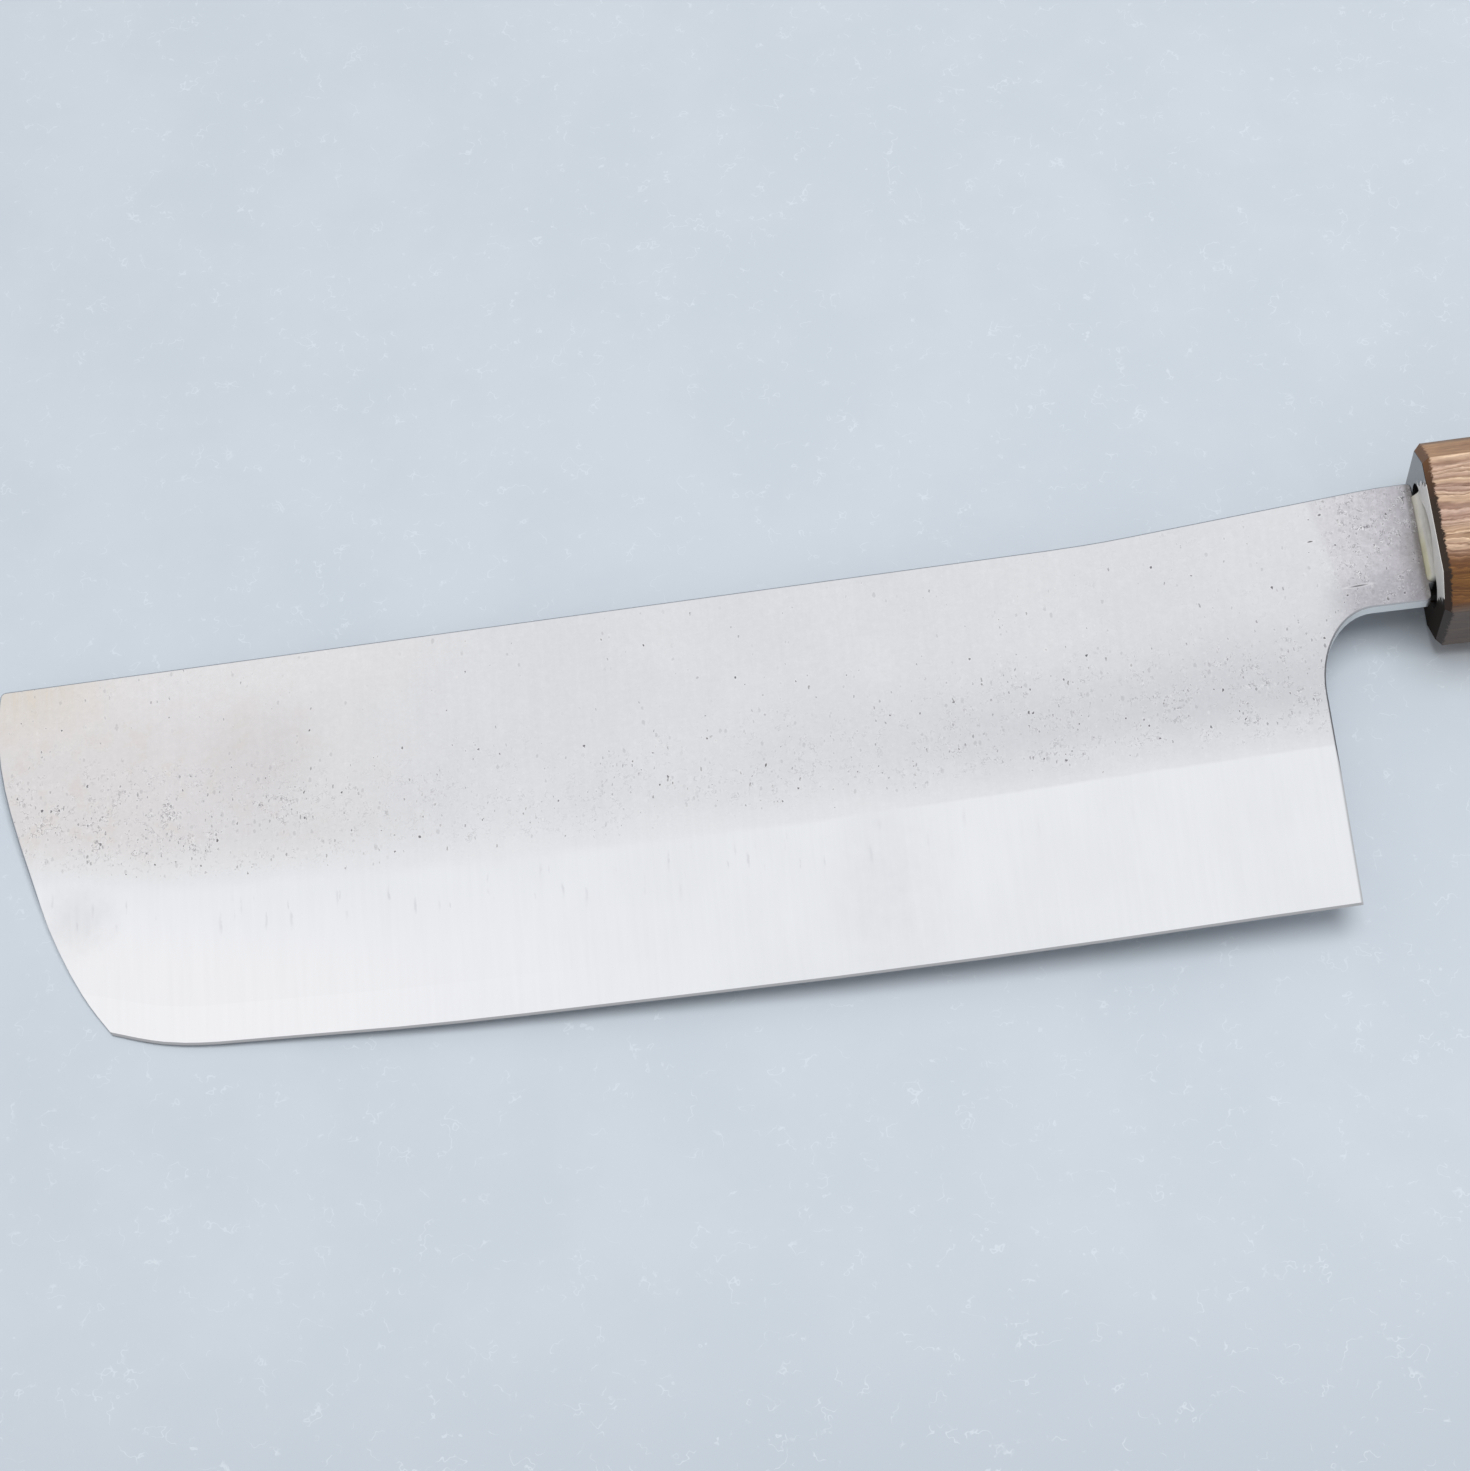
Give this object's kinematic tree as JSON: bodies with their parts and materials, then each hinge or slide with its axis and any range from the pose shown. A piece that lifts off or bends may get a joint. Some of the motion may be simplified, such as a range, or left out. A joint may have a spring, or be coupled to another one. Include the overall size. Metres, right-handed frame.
{
  "type": "nakiri knife",
  "caption": "Double-bevelled vegetable knife: laminated straight-spined blade on a hidden tang in an octagonal wooden handle.",
  "frame": {"origin": "centre of the handle's front face, on the blade's middle plane", "axes": "+X along the handle to its butt, +Y from the cutting edge to the spine, +Z out of the blade's left side"},
  "size_m": [0.3119, 0.0596, 0.0198],
  "materials": {
    "core_steel": "satin",
    "soft_iron": "satin",
    "darkened_oak": "satin",
    "mouth_resin": "gloss",
    "epoxy": "matt"
  },
  "bodies": {
    "root": {"core_steel": "core_steel", "left_cladding": "soft_iron", "right_cladding": "soft_iron", "handle": "darkened_oak", "mouth_seal": "mouth_resin", "tang_bond": "epoxy"}
  },
  "joints": []
}
